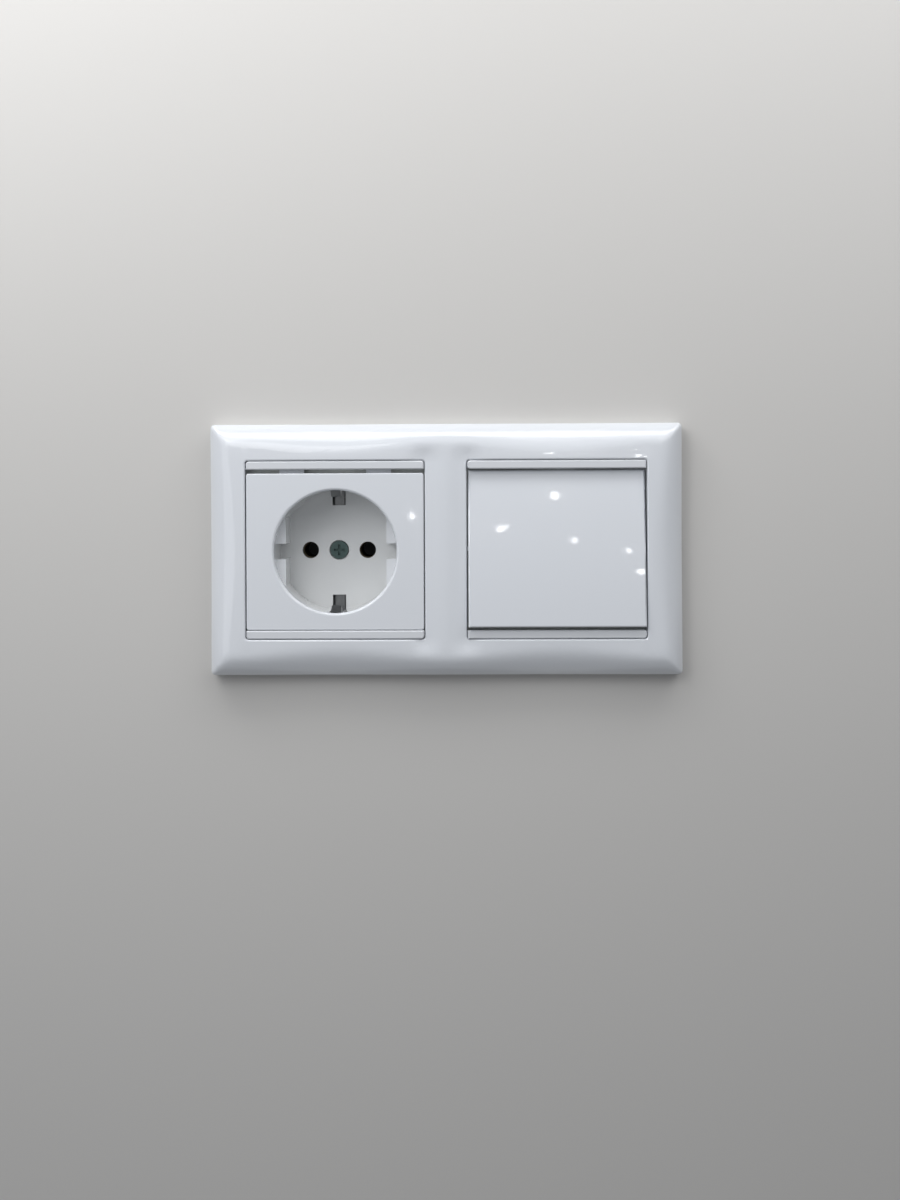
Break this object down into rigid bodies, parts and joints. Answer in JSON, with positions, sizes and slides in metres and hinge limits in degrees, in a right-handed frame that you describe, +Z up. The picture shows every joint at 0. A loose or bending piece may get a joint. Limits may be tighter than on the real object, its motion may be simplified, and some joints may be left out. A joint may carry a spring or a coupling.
{
  "type": "switch and socket combination",
  "caption": "Two-gang wall set: round recessed earthed power socket on the left and a rocker light switch on the right in one glossy white frame.",
  "frame": {"origin": "on the wall plane (back of the mounting plates), midway between the two gang centres; centre of the four box screw slots", "axes": "+X to the right along the wall, +Y into the wall, +Z up; the front faces -Y"},
  "size_m": [0.152, 0.0419, 0.081],
  "materials": {
    "white_gloss": "glossy",
    "strip_gloss": "glossy",
    "white_matte": "matte",
    "grey_plastic": "matte",
    "zinc_steel": "zinc plated",
    "spring_steel": "satin",
    "brass": "satin"
  },
  "bodies": {
    "fixed": {"outer_frame": "white_gloss", "trim_strip_socket_top": "strip_gloss", "trim_strip_socket_bottom": "strip_gloss", "trim_strip_switch_top": "strip_gloss", "trim_strip_switch_bottom": "strip_gloss", "socket_cover": "white_gloss", "cover_screw": "zinc_steel", "earth_strap": "spring_steel", "contact_left": "brass", "contact_right": "brass", "socket_terminal_screws": "zinc_steel", "socket_base": "grey_plastic", "socket_plate": "zinc_steel", "socket_claw_screws": "zinc_steel", "socket_claw_nuts": "zinc_steel", "rocker_carrier": "white_matte", "fixed_contact_upper": "brass", "fixed_contact_lower": "brass", "common_contact": "brass", "switch_terminal_screws": "zinc_steel", "switch_base": "grey_plastic", "switch_plate": "zinc_steel", "switch_claw_screws": "zinc_steel", "switch_claw_nuts": "zinc_steel"},
    "rocker": {"rocker": "white_gloss", "plunger_spring": "spring_steel"},
    "plunger": {"plunger": "white_matte"},
    "lever": {"contact_lever": "brass"},
    "socket_claw_left": {"socket_claw_left": "zinc_steel"},
    "socket_claw_right": {"socket_claw_right": "zinc_steel"},
    "switch_claw_left": {"switch_claw_left": "zinc_steel"},
    "switch_claw_right": {"switch_claw_right": "zinc_steel"}
  },
  "joints": [
    {"name": "rocker_tilt", "type": "hinge", "parent": "fixed", "child": "rocker", "pos_m": [0.0355, -0.0042, 0], "axis": [1, 0, 0], "range_deg": [0, 9]},
    {"name": "lever_tilt", "type": "hinge", "parent": "fixed", "child": "lever", "pos_m": [0.0355, 0.009, 0], "axis": [1, 0, 0], "range_deg": [-20, 0]},
    {"name": "plunger_slide", "type": "slide", "parent": "rocker", "child": "plunger", "axis": [0, -0.9969, 0.0785], "range_m": [0, 0.001], "stiffness_N_per_m": 400, "deforming": ["plunger_spring"]},
    {"name": "socket_claw_left_swing", "type": "hinge", "parent": "fixed", "child": "socket_claw_left", "pos_m": [-0.0604, 0.0017, 0], "axis": [0, 0, 1], "range_deg": [0, 20]},
    {"name": "socket_claw_right_swing", "type": "hinge", "parent": "fixed", "child": "socket_claw_right", "pos_m": [-0.0106, 0.0017, 0], "axis": [0, 0, -1], "range_deg": [0, 20]},
    {"name": "switch_claw_left_swing", "type": "hinge", "parent": "fixed", "child": "switch_claw_left", "pos_m": [0.0106, 0.0017, 0], "axis": [0, 0, 1], "range_deg": [0, 20]},
    {"name": "switch_claw_right_swing", "type": "hinge", "parent": "fixed", "child": "switch_claw_right", "pos_m": [0.0604, 0.0017, 0], "axis": [0, 0, -1], "range_deg": [0, 20]}
  ],
  "couplings": [
    {"joint": "lever_tilt", "follows": "rocker_tilt", "ratio": -2.2222}
  ]
}
